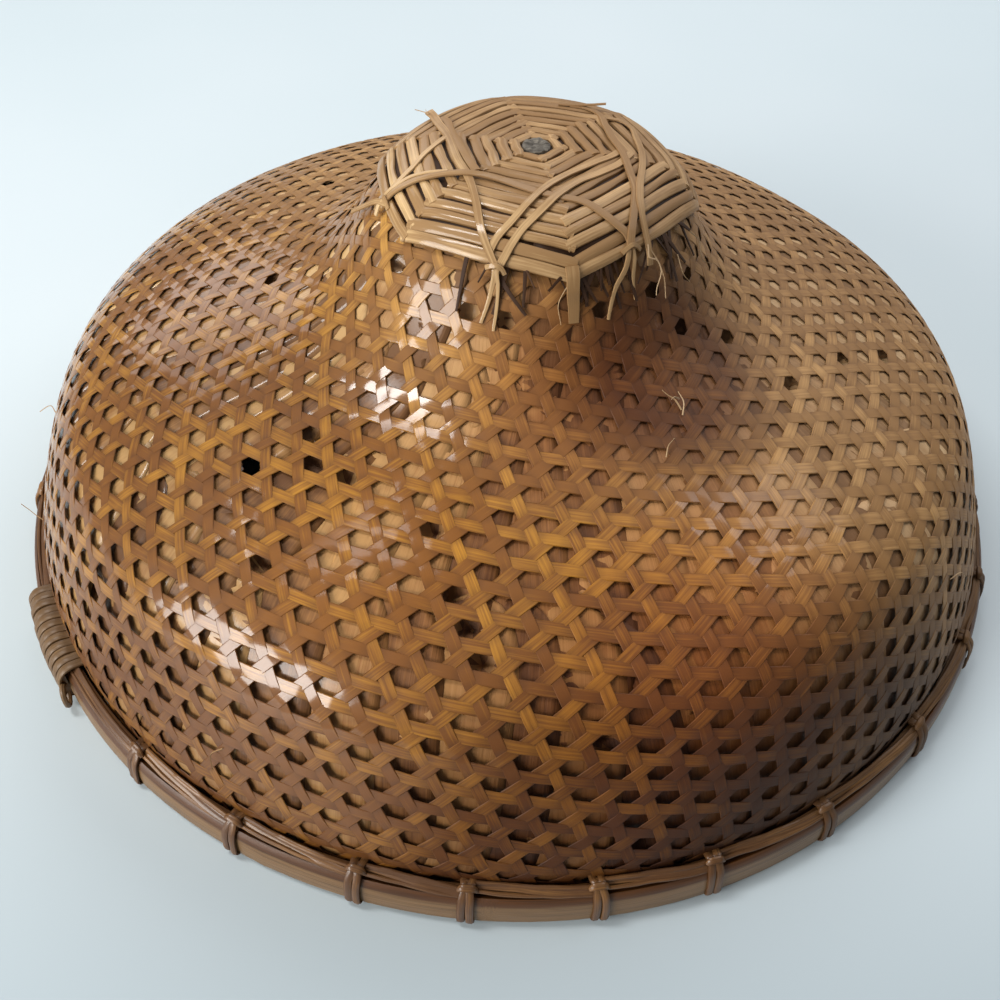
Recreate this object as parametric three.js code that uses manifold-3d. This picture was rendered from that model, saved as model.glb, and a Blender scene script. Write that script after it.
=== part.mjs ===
// Rattan field hat lying on its rim. Millimetres, +Z up, the rim's centre on the ground at the origin.
// Azimuth is measured in degrees from the front (-Y) towards +X.
import * as THREE from 'three';
import { mergeVertices } from 'three/addons/utils/BufferGeometryUtils.js';
import Module from 'manifold-3d';

const wasm = await Module();
wasm.setup();

// Round forms: facets round the hat, and where their corners stand
const RING_SEGMENTS = 60;
const LEAF_SEGMENTS = 36;
const CAP_SEGMENTS = 24;
const CORNER_AZIMUTH = 13;

// Weave wall
const WEAVE_THICKNESS = 1.8;
const FIT_GAP = 0.3;
const WALL_RADIUS = 208.2;
const WALL_BOTTOM = 2;

// Outside of the weave from the rim up to the top of the crown
const WEAVE_PROFILE = [
  { radius: WALL_RADIUS, height: WALL_BOTTOM },
  { radius: WALL_RADIUS, height: 22 },
  { radius: 205.6, height: 32 },
  { radius: 200, height: 48 },
  { radius: 191.3, height: 68 },
  { radius: 184, height: 78.4 },
  { radius: 174, height: 86.2 },
  { radius: 160, height: 93.1 },
  { radius: 140, height: 101 },
  { radius: 97, height: 115 },
  { radius: 80, height: 124.6 },
  { radius: 69.6, height: 136 },
  { radius: 62.6, height: 147.4 },
  { radius: 53.6, height: 157 },
  { radius: 43.6, height: 164 },
  { radius: 31, height: 167.4 },
  { radius: 0, height: 168.6 },
];

// Leaf layer close inside the weave
const LEAF_THICKNESS = 1;
const LEAF_BOTTOM = 24;
const LEAF_INSET = 2.6;

// Crown cap of wound splits: its windings run from the hem to the hole for the plug
const CAP_CLEARANCE = 0.85;
const CAP_THICKNESS = 1.1;
const CAP_HEM_HEIGHT = 152.4;
const CAP_WINDINGS = 8;
const CAP_WINDING_STEP = 0.6;
const CAP_CORNER_RISE = 0.05;
const PLUG_HOLE_RADIUS = 5.2;

// Plug in the middle of the cap
const PLUG_RADIUS = 4.6;
const PLUG_TOP = 173;
const PLUG_SEGMENTS = 12;
const PLUG_BEVEL = { width: 1.2, height: 1 };

// The crown leans from this height up
const LEAN_START = 100;
const CROWN_TOP = 170;
const LEAN_X = 4;
const LEAN_Y = 0.4;

// Shallow dents pressed into the wall
const DENTS = [
  { azimuth: 132, height: 84, depth: 1.8, width: 14, spread: 18 },
  { azimuth: 48, height: 66, depth: 1.6, width: 18, spread: 18 },
];

// Rim hoops, given by their faces
const RIM_RADIUS = 215;
const OUTER_HOOP = { inner: 211, outer: RIM_RADIUS, bottom: 1.2, top: 15.2 };
const FILLER_SPLIT = { inner: 208.5, outer: 210.7, bottom: 7, top: 17.4 };
const INNER_HOOP = { inner: 203, outer: 206.1, bottom: 1.2, top: 14.2 };

// Lashings round the rim
const LASHING_AZIMUTHS = [
  -79.8, -39, -26, -13.2, -2.8, 9.2, 20.5, 33.2, 48.2, 61.8, 71.8,
  84, 96.3, 108.6, 120.9, 133.2, 145.5, 157.8, 170.1, 182.4, 194.7, 207, 219.3, 231.6, 243.9, 256.2, 268.2,
];
const LASHING_WIDTH = 6.5;

// The cane's inside and outside round the hoops, seen along the rim
const CANE_INSIDE = [
  { radius: 202.5, height: 0.9 },
  { radius: 215.4, height: 0.9 },
  { radius: 215.4, height: 15 },
  { radius: 211.1, height: 17.8 },
  { radius: 206, height: 17.8 },
  { radius: 202.5, height: 14.6 },
];
const LASHING_OUTSIDE = [
  { radius: 201.5, height: 0 },
  { radius: 215.9, height: 0 },
  { radius: 216.4, height: 0.6 },
  { radius: 216.4, height: 15.6 },
  { radius: 214, height: 18.6 },
  { radius: 212.6, height: 20.4 },
  { radius: 210, height: 20.4 },
  { radius: 208.8, height: 18.8 },
  { radius: 205.6, height: 18.8 },
  { radius: 201.5, height: 15 },
];

// Slot in the weave wall for a lashing's upper side
const SLOT = { inner: 200, outer: 212, bottom: 17.4, top: 19.2 };

// Dense binding over the hoop's joint
const SPLICE_START = -63.5;
const SPLICE_TURNS = 8;
const SPLICE_TURN_STEP = 1.5;
const SPLICE_TURN_WIDTH = 6.1;
const SPLICE_SWELL = 0.5;
const SPLICE_INSIDE_PIECES = 4;
const SPLICE_INSIDE_RADIUS = 216;
const SPLICE_OUTSIDE = [
  { radius: 201.1, height: 0 },
  { radius: 216.8, height: 0 },
  { radius: 219.3, height: 2.6 },
  { radius: 219.6, height: 9 },
  { radius: 218.4, height: 16.4 },
  { radius: 214.6, height: 19.6 },
  { radius: 210.2, height: 19.6 },
  { radius: 209, height: 18.8 },
  { radius: 205.4, height: 18.8 },
  { radius: 201.1, height: 15.2 },
];

// Loose eye of cane at the splice's end
const EYE_AZIMUTH = -51.4;
const EYE_RADIUS = 218.1;
const EYE_HEIGHT = 7.6;
const EYE_HALF_WIDTH = 3.8;
const EYE_HALF_HEIGHT = 5;
const EYE_CANE_RADIUS = 1.1;
const EYE_CANE_SIDES = 6;
const EYE_SEGMENTS = 14;
const EYE_TURN = 68;

// Extra room cut into the wall round a lashing
const SLOT_CLEARANCE = 0.3;

const radians = (degrees) => THREE.MathUtils.degToRad(degrees);

// Depth of the dents at a place on the wall
function dentDepth(azimuth, height) {
  let depth = 0;
  for (const dent of DENTS) {
    const across = THREE.MathUtils.euclideanModulo(azimuth - dent.azimuth + 180, 360) - 180;
    const along = (height - dent.height) / dent.spread;
    depth += dent.depth * Math.exp(-((across / dent.width) ** 2) - along * along);
  }
  return depth;
}

// A place on the hat, with the dents and the crown's lean
function placed(azimuth, radius, height) {
  const pressed = radius > 0 ? radius - dentDepth(azimuth, height) : 0;
  const lean = Math.max(0, (height - LEAN_START) / (CROWN_TOP - LEAN_START));
  const angle = radians(azimuth);
  return [
    pressed * Math.sin(angle) + LEAN_X * lean,
    -pressed * Math.cos(angle) + LEAN_Y * lean,
    height,
  ];
}

// The profile moved outwards along its own normals, inwards when the distance is negative
function offsetProfile(profile, distance) {
  const normals = profile.slice(1).map((point, index) => {
    const along = new THREE.Vector2(point.radius - profile[index].radius, point.height - profile[index].height);
    along.normalize();
    return new THREE.Vector2(along.y, -along.x);
  });
  return profile.map((point, index) => {
    if (index === 0) {
      return { radius: point.radius + distance, height: point.height };
    }
    if (point.radius === 0) {
      return { radius: 0, height: point.height + distance };
    }
    const before = normals[index - 1];
    const after = normals[Math.min(index, normals.length - 1)];
    const middle = before.clone().add(after).normalize();
    const reach = distance / middle.dot(before);
    return { radius: point.radius + middle.x * reach, height: point.height + middle.y * reach };
  });
}

// The profile from a height upwards
function profileAbove(profile, height) {
  const next = profile.findIndex((point) => point.height > height);
  const below = profile[next - 1];
  const above = profile[next];
  const share = (height - below.height) / (above.height - below.height);
  return [{ radius: THREE.MathUtils.lerp(below.radius, above.radius, share), height }, ...profile.slice(next)];
}

// Closed body from a section that is turned round the axis; points on the axis become single corners
function turned(section, segments, shape = () => 1) {
  const positions = [];
  const rings = section.map((point) => {
    const first = positions.length / 3;
    const count = point.radius === 0 ? 1 : segments;
    for (let step = 0; step < count; step += 1) {
      const azimuth = CORNER_AZIMUTH + (step * 360) / segments;
      positions.push(...placed(azimuth, point.radius * shape(azimuth), point.height));
    }
    return { first, count };
  });
  const corner = (ring, step) => ring.first + (step % ring.count);
  const faces = [];
  rings.forEach((ring, index) => {
    const next = rings[(index + 1) % rings.length];
    if (ring.count === 1 && next.count === 1) {
      return;
    }
    for (let step = 0; step < segments; step += 1) {
      if (ring.count > 1) {
        faces.push(corner(ring, step), corner(ring, step + 1), corner(next, step));
      }
      if (next.count > 1) {
        faces.push(corner(ring, step + 1), corner(next, step + 1), corner(next, step));
      }
    }
  });
  const geometry = new THREE.BufferGeometry();
  geometry.setAttribute('position', new THREE.Float32BufferAttribute(positions, 3));
  geometry.setIndex(faces);
  return geometry;
}

// Section of a plain band between two radii and two heights, outside first
function bandSection({ inner, outer, bottom, top }) {
  return [
    { radius: outer, height: bottom },
    { radius: outer, height: top },
    { radius: inner, height: top },
    { radius: inner, height: bottom },
  ];
}

// Joining and cutting of closed bodies
function toSolid(geometry) {
  const bare = geometry.clone();
  bare.deleteAttribute('normal');
  bare.deleteAttribute('uv');
  const merged = mergeVertices(bare);
  return new wasm.Manifold(new wasm.Mesh({
    numProp: 3,
    vertProperties: new Float32Array(merged.attributes.position.array),
    triVerts: new Uint32Array(merged.index.array),
  }));
}

function toGeometry(solid) {
  const mesh = solid.getMesh();
  const geometry = new THREE.BufferGeometry();
  geometry.setAttribute('position', new THREE.Float32BufferAttribute(mesh.vertProperties, 3));
  geometry.setIndex(Array.from(mesh.triVerts));
  return geometry;
}

// A radial section drawn out along the rim at an azimuth
function acrossRim(outside, inside, azimuth, width) {
  const points = (table) => table.map((point) => new THREE.Vector2(point.radius, point.height));
  const shape = new THREE.Shape(points(outside));
  if (inside) {
    shape.holes.push(new THREE.Path(points(inside)));
  }
  const geometry = new THREE.ExtrudeGeometry(shape, { depth: width, bevelEnabled: false });
  geometry.translate(0, 0, -width / 2);
  const angle = radians(azimuth);
  const outward = new THREE.Vector3(Math.sin(angle), -Math.cos(angle), 0);
  const upward = new THREE.Vector3(0, 0, 1);
  const sideways = outward.clone().cross(upward);
  return geometry.applyMatrix4(new THREE.Matrix4().makeBasis(outward, upward, sideways));
}

const slotCut = (azimuth, width) => toSolid(
  acrossRim(bandSection(SLOT), null, azimuth, width + 2 * SLOT_CLEARANCE),
);

const spliceAzimuths = Array.from({ length: SPLICE_TURNS }, (_, turn) => SPLICE_START + turn * SPLICE_TURN_STEP);

function weaveWall() {
  const section = [...WEAVE_PROFILE, ...offsetProfile(WEAVE_PROFILE, -WEAVE_THICKNESS).reverse()];
  let wall = toSolid(turned(section, RING_SEGMENTS));
  for (const azimuth of LASHING_AZIMUTHS) {
    wall = wall.subtract(slotCut(azimuth, LASHING_WIDTH));
  }
  const spliceSlots = spliceAzimuths.map((azimuth) => slotCut(azimuth, SPLICE_TURN_WIDTH));
  return toGeometry(wall.subtract(spliceSlots.reduce((all, slot) => all.add(slot))));
}

function leafLayer() {
  const profile = profileAbove(WEAVE_PROFILE, LEAF_BOTTOM);
  const outside = offsetProfile(profile, -LEAF_INSET);
  const inside = offsetProfile(profile, -LEAF_INSET - LEAF_THICKNESS);
  return turned([...outside, ...inside.reverse()], LEAF_SEGMENTS);
}

// Place on a profile at a share of its length
function alongProfile(profile, share) {
  const path = new THREE.CurvePath();
  profile.slice(1).forEach((point, index) => {
    const from = new THREE.Vector2(profile[index].radius, profile[index].height);
    path.add(new THREE.LineCurve(from, new THREE.Vector2(point.radius, point.height)));
  });
  const { x, y } = path.getPoint(share);
  return { radius: x, height: y };
}

// The part of the crown's profile from the cap's hem up to the plug's hole
function crownPart(profile) {
  const crown = profileAbove(profile, CAP_HEM_HEIGHT);
  const [shoulder, top] = crown.slice(-2);
  const share = PLUG_HOLE_RADIUS / shoulder.radius;
  const hole = { radius: PLUG_HOLE_RADIUS, height: THREE.MathUtils.lerp(top.height, shoulder.height, share) };
  return [...crown.slice(0, -1), hole];
}

// The cap stands out at its six corners
function capShape(azimuth) {
  return 1 + CAP_CORNER_RISE * (0.5 + 0.5 * Math.cos(radians((azimuth - CORNER_AZIMUTH) * 6)));
}

function crownCap() {
  const inner = crownPart(offsetProfile(WEAVE_PROFILE, CAP_CLEARANCE));
  const middle = crownPart(offsetProfile(WEAVE_PROFILE, CAP_CLEARANCE + CAP_THICKNESS));
  const raised = crownPart(offsetProfile(WEAVE_PROFILE, CAP_CLEARANCE + CAP_THICKNESS + CAP_WINDING_STEP));
  const section = [];
  for (let winding = 0; winding < CAP_WINDINGS; winding += 1) {
    section.push(alongProfile(raised, winding / CAP_WINDINGS));
    section.push(alongProfile(middle, (winding + 1) / CAP_WINDINGS));
  }
  return turned([...section, ...inner.reverse()], CAP_SEGMENTS, capShape);
}

function crownPlug() {
  const seat = WEAVE_PROFILE[WEAVE_PROFILE.length - 1].height + FIT_GAP;
  const section = [
    { radius: 0, height: seat },
    { radius: PLUG_RADIUS, height: seat },
    { radius: PLUG_RADIUS, height: PLUG_TOP - PLUG_BEVEL.height },
    { radius: PLUG_RADIUS - PLUG_BEVEL.width, height: PLUG_TOP },
    { radius: 0, height: PLUG_TOP },
  ];
  return turned(section, PLUG_SEGMENTS);
}

// Ring of cane that stands out from the splice's end
function looseEye() {
  const ring = new THREE.TorusGeometry(1, EYE_CANE_RADIUS / EYE_HALF_WIDTH, EYE_CANE_SIDES, EYE_SEGMENTS);
  ring.scale(EYE_HALF_WIDTH, EYE_HALF_HEIGHT, EYE_HALF_WIDTH);
  ring.rotateX(Math.PI / 2);
  ring.rotateZ(radians(EYE_AZIMUTH - 90 + EYE_TURN));
  const [x, y] = placed(EYE_AZIMUTH, EYE_RADIUS, EYE_HEIGHT);
  return ring.translate(x, y, EYE_HEIGHT);
}

function rimSplice() {
  const middleTurn = (SPLICE_TURNS - 1) / 2;
  const turns = spliceAzimuths.map((azimuth, turn) => {
    const swell = turn % 2 === 0 ? SPLICE_SWELL : 0;
    const slimming = Math.abs(turn - middleTurn) / middleTurn;
    const outside = SPLICE_OUTSIDE.map((point) => {
      const proud = point.radius > RIM_RADIUS ? swell - slimming : 0;
      return { radius: point.radius + proud, height: point.height };
    });
    return toSolid(acrossRim(outside, null, azimuth, SPLICE_TURN_WIDTH));
  });
  const span = (SPLICE_TURNS + 1) * SPLICE_TURN_STEP;
  const first = spliceAzimuths[0] - SPLICE_TURN_STEP;
  const pieceSpan = span / SPLICE_INSIDE_PIECES;
  const pieceWidth = radians(pieceSpan) * SPLICE_INSIDE_RADIUS;
  const insides = Array.from({ length: SPLICE_INSIDE_PIECES }, (_, piece) => {
    const azimuth = first + (piece + 0.5) * pieceSpan;
    return toSolid(acrossRim(CANE_INSIDE, null, azimuth, pieceWidth));
  });
  const wound = turns.reduce((all, turn) => all.add(turn));
  const hoops = insides.reduce((all, inside) => all.add(inside));
  return toGeometry(wound.subtract(hoops).add(toSolid(looseEye())));
}

const hat = new THREE.Group();
hat.name = 'rattan_field_hat';

function addPiece(name, geometry, color, roughness) {
  const faceted = geometry.index ? geometry.toNonIndexed() : geometry;
  faceted.computeVertexNormals();
  const material = new THREE.MeshStandardMaterial({ color, roughness, metalness: 0 });
  const mesh = new THREE.Mesh(faceted, material);
  mesh.name = name;
  mesh.material.name = name.replace(/_\d+$/, '');
  hat.add(mesh);
}

addPiece('woven_shell', weaveWall(), 0xa8783f, 0.45);
addPiece('leaf_layer', leafLayer(), 0xc9b07c, 0.8);
addPiece('rim_hoop_outer', turned(bandSection(OUTER_HOOP), RING_SEGMENTS), 0x9a7446, 0.5);
addPiece('rim_hoop_inner', turned(bandSection(INNER_HOOP), RING_SEGMENTS), 0x8f6b40, 0.6);
addPiece('rim_filler_split', turned(bandSection(FILLER_SPLIT), RING_SEGMENTS), 0x8a6034, 0.5);
LASHING_AZIMUTHS.forEach((azimuth, index) => {
  const name = `rim_lashing_${String(index + 1).padStart(2, '0')}`;
  addPiece(name, acrossRim(LASHING_OUTSIDE, CANE_INSIDE, azimuth, LASHING_WIDTH), 0x9c6f3e, 0.5);
});
addPiece('rim_splice', rimSplice(), 0x8f6233, 0.5);
addPiece('crown_cap', crownCap(), 0xb48f5c, 0.6);
addPiece('crown_plug', crownPlug(), 0x6f6a5e, 0.8);

export default hat;
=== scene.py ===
"""Rattan field hat lying on its rim: cane weave over leaf, wound cap, lashed bamboo rim.

Metres in the scene, millimetres in the tables. +Z up, the rim's centre on the ground at the origin.
Azimuth is in degrees from the front (-Y) towards +X. Arc is the length along the surface from the top.
"""

import math

import bpy
import numpy as np
from mathutils import Matrix


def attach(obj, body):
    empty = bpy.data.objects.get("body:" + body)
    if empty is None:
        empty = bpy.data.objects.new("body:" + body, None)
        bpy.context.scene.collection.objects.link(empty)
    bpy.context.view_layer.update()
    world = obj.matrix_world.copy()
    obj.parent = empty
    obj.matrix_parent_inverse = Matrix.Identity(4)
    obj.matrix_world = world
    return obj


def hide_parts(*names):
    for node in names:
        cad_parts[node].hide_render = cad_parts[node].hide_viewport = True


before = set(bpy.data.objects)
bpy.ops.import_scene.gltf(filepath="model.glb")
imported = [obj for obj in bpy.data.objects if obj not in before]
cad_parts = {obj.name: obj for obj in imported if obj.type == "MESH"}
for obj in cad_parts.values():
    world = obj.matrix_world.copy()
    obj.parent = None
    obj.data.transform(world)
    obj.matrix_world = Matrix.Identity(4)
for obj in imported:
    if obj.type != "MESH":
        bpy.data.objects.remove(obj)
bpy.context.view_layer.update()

MM = 0.001
BODY = "root"
RANDOM_SEED = 41
random = np.random.default_rng(RANDOM_SEED)

# Outside of the weave from the crown's top to the rim: radius, height
WEAVE_PROFILE = [
    (0, 168.6), (31, 167.4), (43.6, 164), (53.6, 157), (62.6, 147.4), (69.6, 136), (80, 124.6), (97, 115),
    (140, 101), (160, 93.1), (174, 86.2), (184, 78.4), (191.3, 68), (200, 48), (205.6, 32), (208.2, 22),
    (208.2, 2),
]
# Outside of the cap, and of the weave below its hem
CAP_PROFILE = [
    (0, 171.2), (32, 169.6), (46, 166), (56.5, 157.6), (62.6, 147.4), (69.6, 136), (80, 124.6), (97, 115),
    (140, 101),
]
PROFILE_STEP = 0.25
DENT_FADE_RADIUS = 30
LEAN_START = 100
LEAN_SPAN = 70
LEAN = (4, 0.4)
# Dents pressed into the wall: azimuth, height, depth, width in degrees, spread in height
DENTS = [(132, 84, 1.8, 14, 18), (48, 66, 1.6, 18, 18)]

# Sections of splits: across in widths, up in thicknesses, outer face upwards
FLAT_SPLIT = [(-0.5, -0.5), (0.5, -0.5), (0.45, 0.34), (0, 0.54), (-0.45, 0.34)]
ROUND_SPLIT = [(-0.5, -0.45), (0.5, -0.45), (0.46, 0.15), (0.22, 0.5), (-0.22, 0.5), (-0.46, 0.15)]
ROUND_CANE = [(math.cos(a) / 2, math.sin(a) / 2) for a in np.linspace(0, 2 * math.pi, 9)[:-1]]
FIBRE = [(-0.5, -0.4), (0.5, -0.4), (0, 0.55)]


def smooth_curve(positions, values, at):
    """Values between the table's, without swings between its points"""
    positions, values = np.array(positions, float), np.array(values, float)
    steps = np.diff(positions)
    slopes = np.diff(values) / steps
    same_way = slopes[:-1] * slopes[1:] > 0
    safe = np.where(same_way, slopes[:-1] * slopes[1:], 0)
    total = np.where(same_way, slopes[:-1] + slopes[1:], 1)
    tangents = np.r_[slopes[0], 2 * safe / total, slopes[-1]]
    return through(positions, values, tangents, at)


def smooth_track(positions, values, at):
    """Curve through values, with slopes taken from the neighbours on both sides"""
    return through(positions, values, np.gradient(values, positions), at)


def through(positions, values, tangents, at):
    """Curve through values with a given slope at each"""
    index = np.clip(np.searchsorted(positions, at, side="right") - 1, 0, len(positions) - 2)
    step = positions[index + 1] - positions[index]
    share = (at - positions[index]) / step
    rest = 1 - share
    return (
        values[index] * (1 + 2 * share) * rest ** 2
        + values[index + 1] * (3 - 2 * share) * share ** 2
        + step * (tangents[index] * share * rest ** 2 - tangents[index + 1] * share ** 2 * rest)
    )


def wobble(along, wavelength, amount):
    """Slow random sway along a strand"""
    phases = random.uniform(0, 2 * math.pi, 3)
    waves = ((0.55, 1), (0.3, 0.57), (0.15, 0.31))
    return amount * sum(
        weight * np.sin(2 * math.pi * along / (wavelength * length) + phase)
        for (weight, length), phase in zip(waves, phases)
    )


def turn_apart(azimuth, other):
    """Degrees from one azimuth to another, the short way round"""
    return (azimuth - other + 180) % 360 - 180


def bell(distance, spread):
    """1 in the middle, falling off smoothly on both sides"""
    return np.exp(-(distance / spread) ** 2)


def unit(rows):
    """Rows of directions brought to length one"""
    return rows / np.linalg.norm(rows, axis=1)[:, None]


def length_to(points):
    """Length along a path to each of its points"""
    return np.r_[0, np.cumsum(np.linalg.norm(np.diff(points, axis=0), axis=1))]


class HatSurface:
    """A surface turned round the hat's axis, with the hat's dents and its crown's lean"""

    def __init__(self, profile):
        radius, height = np.array(profile, float).T
        corners = np.r_[0, np.cumsum(np.hypot(np.diff(radius), np.diff(height)))]
        self.arc = np.arange(0, corners[-1], PROFILE_STEP)
        self.radius = smooth_curve(corners, radius, self.arc)
        self.height = smooth_curve(corners, height, self.arc)
        run, fall = np.gradient(self.radius), np.gradient(self.height)
        length = np.hypot(run, fall)
        self.outward, self.upward = -fall / length, run / length

    def radius_at(self, arc):
        return np.interp(arc, self.arc, self.radius)

    def place(self, azimuth, arc, lift=0.0):
        """Points in metres, and the way the surface faces there"""
        outward = np.interp(arc, self.arc, self.outward)
        upward = np.interp(arc, self.arc, self.upward)
        height = np.interp(arc, self.arc, self.height)
        radius = np.interp(arc, self.arc, self.radius) + outward * lift
        for middle, level, depth, width, spread in DENTS:
            across = turn_apart(azimuth, middle) / width
            fade = np.clip(radius / DENT_FADE_RADIUS, 0, 1)
            radius = radius - fade * depth * np.exp(-across ** 2 - ((height - level) / spread) ** 2)
        height = height + upward * lift
        lean = np.clip((height - LEAN_START) / LEAN_SPAN, 0, None)
        angle = np.radians(azimuth)
        side, front = np.sin(angle), -np.cos(angle)
        points = np.stack([radius * side + LEAN[0] * lean, radius * front + LEAN[1] * lean, height], -1) * MM
        return points, np.stack([outward * side, outward * front, upward], -1)


weave_face = HatSurface(WEAVE_PROFILE)
cap_face = HatSurface(CAP_PROFILE)


def add_object(name, data):
    thing = bpy.data.objects.new(name, data)
    bpy.context.scene.collection.objects.link(thing)
    return thing


def mesh_piece(name, points, faces, places, values, material, angle=35):
    """A new object from points and faces, with a map and values for its finish"""
    mesh = bpy.data.meshes.new(name)
    mesh.from_pydata(points.tolist(), [], faces)
    corners = np.zeros(len(mesh.loops), np.int32)
    mesh.loops.foreach_get("vertex_index", corners)
    mesh.uv_layers.new(name="UVMap").data.foreach_set("uv", places[corners].astype(np.float32).ravel())
    for label, value in values.items():
        mesh.attributes.new(label, "FLOAT", "POINT").data.foreach_set("value", value.astype(np.float32))
    piece = add_object(name, mesh)
    mesh.materials.append(material)
    smooth_edges(piece, angle)
    return piece


# Metres by which the grain moves on from one strand to the next
NEXT_STRAND = 0.37


class Strands:
    """Gathers splits that follow paths into one mesh, with a map along and across each"""

    def __init__(self):
        self.points, self.quads, self.ends, self.map, self.tones, self.dips = [], [], [], [], [], []
        self.count = 0
        self.along = 0.0

    def add(self, path, facing, width, thickness, section=FLAT_SPLIT, closed=False, tone=None, dip=None):
        """path and facing are rows of points and normals in metres; width and thickness are millimetres"""
        section = np.array(section, float)
        rows, sides = len(path), len(section)
        way = np.roll(path, -1, 0) - np.roll(path, 1, 0) if closed else np.gradient(path, axis=0)
        way = unit(way)
        side = unit(np.cross(way, facing))
        up = np.cross(side, way)
        width = np.broadcast_to(width, rows) * MM
        thickness = np.broadcast_to(thickness, rows) * MM
        points = (
            path[:, None]
            + side[:, None] * (width[:, None] * section[:, 0])[..., None]
            + up[:, None] * (thickness[:, None] * section[:, 1])[..., None]
        )
        starts = np.arange(rows if closed else rows - 1)
        turn = np.arange(sides)
        here = starts[:, None] * sides + turn
        there = (starts[:, None] + 1) % rows * sides + turn
        quads = np.stack([here, there, np.roll(there, -1, 1), np.roll(here, -1, 1)], -1).reshape(-1, 4)
        self.quads.append(quads + self.count)
        if not closed:
            self.ends.append([turn + self.count, turn[::-1] + self.count + (rows - 1) * sides])
        length = length_to(path)
        across = np.broadcast_to(section[:, 0] + 0.5, (rows, sides))
        along = np.broadcast_to((length + self.along)[:, None], (rows, sides))
        self.map.append(np.stack([along, across], -1).reshape(-1, 2))
        self.tones.append(np.full(rows * sides, random.random() if tone is None else tone))
        self.dips.append(np.repeat(np.zeros(rows) if dip is None else dip, sides))
        self.points.append(points.reshape(-1, 3))
        self.count += rows * sides
        self.along += length[-1] + NEXT_STRAND

    def make(self, name, material):
        faces = [face for quads in self.quads for face in quads.tolist()]
        faces += [end.tolist() for pair in self.ends for end in pair]
        values = {"tone": np.concatenate(self.tones), "dip": np.concatenate(self.dips)}
        points, places = np.concatenate(self.points), np.concatenate(self.map)
        return mesh_piece(name, points, faces, places, values, material)


def nothing_selected():
    if bpy.context.mode != "OBJECT":
        bpy.ops.object.mode_set(mode="OBJECT")
    bpy.ops.object.select_all(action="DESELECT")


def work_on(piece):
    nothing_selected()
    piece.select_set(True)
    bpy.context.view_layer.objects.active = piece
    return piece


def smooth_edges(piece, angle):
    work_on(piece)
    bpy.ops.object.shade_smooth_by_angle(angle=math.radians(angle))
    piece.select_set(False)


def finish_piece(piece, slot, *nodes):
    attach(piece, BODY)
    if nodes:
        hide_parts(*nodes)
    return piece


# Finishes

class Wire:
    """A shader value that can be reckoned with"""

    def __init__(self, tree, socket):
        self.tree, self.socket = tree, socket

    def reckon(self, operation, *values):
        return add_node(self.tree, "ShaderNodeMath", {"operation": operation}, dict(enumerate(values)))

    def __add__(self, other):
        return self.reckon("ADD", self, other)

    __radd__ = __add__

    def __sub__(self, other):
        return self.reckon("SUBTRACT", self, other)

    def __rsub__(self, other):
        return self.reckon("SUBTRACT", other, self)

    def __mul__(self, other):
        return self.reckon("MULTIPLY", self, other)

    __rmul__ = __mul__

    def __truediv__(self, other):
        return self.reckon("DIVIDE", self, other)

    def away_from(self, middle):
        """Distance from a value, either way"""
        return self.reckon("ABSOLUTE", self - middle)


def add_node(tree, kind, settings=None, inputs=None, out=0):
    node = tree.nodes.new(kind)
    for name, value in (settings or {}).items():
        if name == "stops":
            ramp = node.color_ramp
            while len(ramp.elements) < len(value):
                ramp.elements.new(0.5)
            for element, (position, tint) in zip(ramp.elements, value):
                element.position = position
                element.color = (*linear(tint), 1)
        else:
            setattr(node, name, value)
    for key, value in (inputs or {}).items():
        if isinstance(value, Wire):
            tree.links.new(value.socket, node.inputs[key])
        else:
            node.inputs[key].default_value = value
    return Wire(tree, node.outputs[out])


def linear(tint):
    """Linear colour from the usual 0 to 255 values"""
    return tuple(((c / 255 + 0.055) / 1.055) ** 2.4 if c > 10 else c / 3294.6 for c in tint)


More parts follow.
